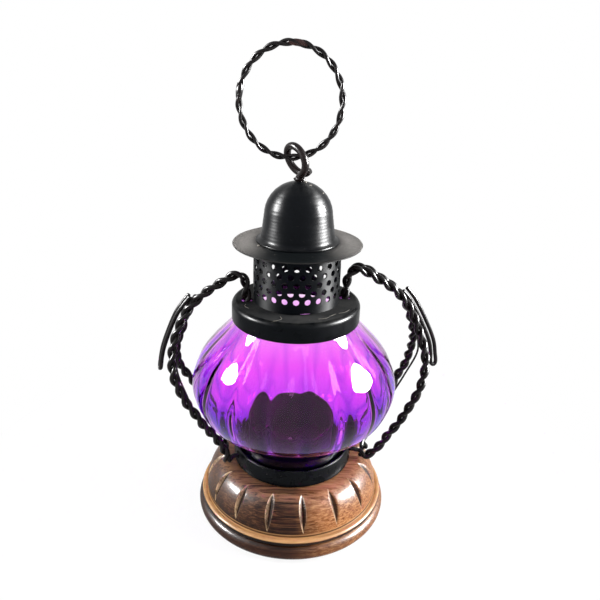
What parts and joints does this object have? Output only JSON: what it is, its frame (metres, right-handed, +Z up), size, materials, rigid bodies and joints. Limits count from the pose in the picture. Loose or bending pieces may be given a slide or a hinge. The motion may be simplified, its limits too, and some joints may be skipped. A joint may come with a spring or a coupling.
{
  "type": "glass lantern",
  "caption": "Hanging lantern: ribbed violet glass globe between an iron cup on a turned wooden base and a collar, with a perforated gallery, a hat, twisted wire guards and a ring.",
  "frame": {"origin": "centre of the wooden base's underside", "axes": "+Z up along the lantern's axis, -Y towards the viewer of the picture, +X to the viewer's right"},
  "size_m": [0.1266, 0.0918, 0.2095],
  "materials": {
    "lacquered_wood": "brown lacquered turned wood, darker at the front, with rubbed pale edges",
    "black_enamel": "glossy black enamel on thin sheet iron, slightly dusty",
    "dusty_enamel": "satin black enamel under taupe dust",
    "black_wire": "black varnished wire, worn reddish brown on the ring",
    "violet_glass": "clear blown violet glass, magenta where the light comes through",
    "zinced_steel": "bright zinced steel screw"
  },
  "bodies": {
    "lamp": {"wooden_base": "lacquered_wood", "base_cup": "black_enamel", "base_screw": "zinced_steel", "candle_cup": "black_enamel", "globe": "violet_glass", "collar": "black_enamel", "gallery_tube": "black_enamel", "hat_brim": "dusty_enamel", "hat_crown": "black_enamel"},
    "eye": {"eye_pin": "black_wire"},
    "ring": {"ring_wire_a": "black_wire", "ring_wire_b": "black_wire"},
    "guard_right": {"guard_right_front_a": "black_wire", "guard_right_front_b": "black_wire", "guard_right_rear_a": "black_wire", "guard_right_rear_b": "black_wire", "guard_right_tail": "black_wire", "guard_right_binding": "black_wire"},
    "guard_left": {"guard_left_front_a": "black_wire", "guard_left_front_b": "black_wire", "guard_left_rear_a": "black_wire", "guard_left_rear_b": "black_wire", "guard_left_tail": "black_wire", "guard_left_binding": "black_wire"}
  },
  "joints": [
    {"name": "eye_swivel", "type": "hinge", "parent": "lamp", "child": "eye", "pos_m": [0, 0, 0.157], "axis": [0, 0, 1], "continuous": true},
    {"name": "ring_swing", "type": "hinge", "parent": "eye", "child": "ring", "pos_m": [0, 0.00068, 0.16638], "axis": [1, 0, 0], "range_deg": [-140, 140]},
    {"name": "guard_right_swing", "type": "hinge", "parent": "lamp", "child": "guard_right", "pos_m": [0.02119, 0.00298, 0.1052], "axis": [0.1392, -0.9903, 0], "range_deg": [0, 8]},
    {"name": "guard_left_swing", "type": "hinge", "parent": "lamp", "child": "guard_left", "pos_m": [-0.02119, -0.00298, 0.1052], "axis": [-0.1392, 0.9903, 0], "range_deg": [0, 8]}
  ]
}
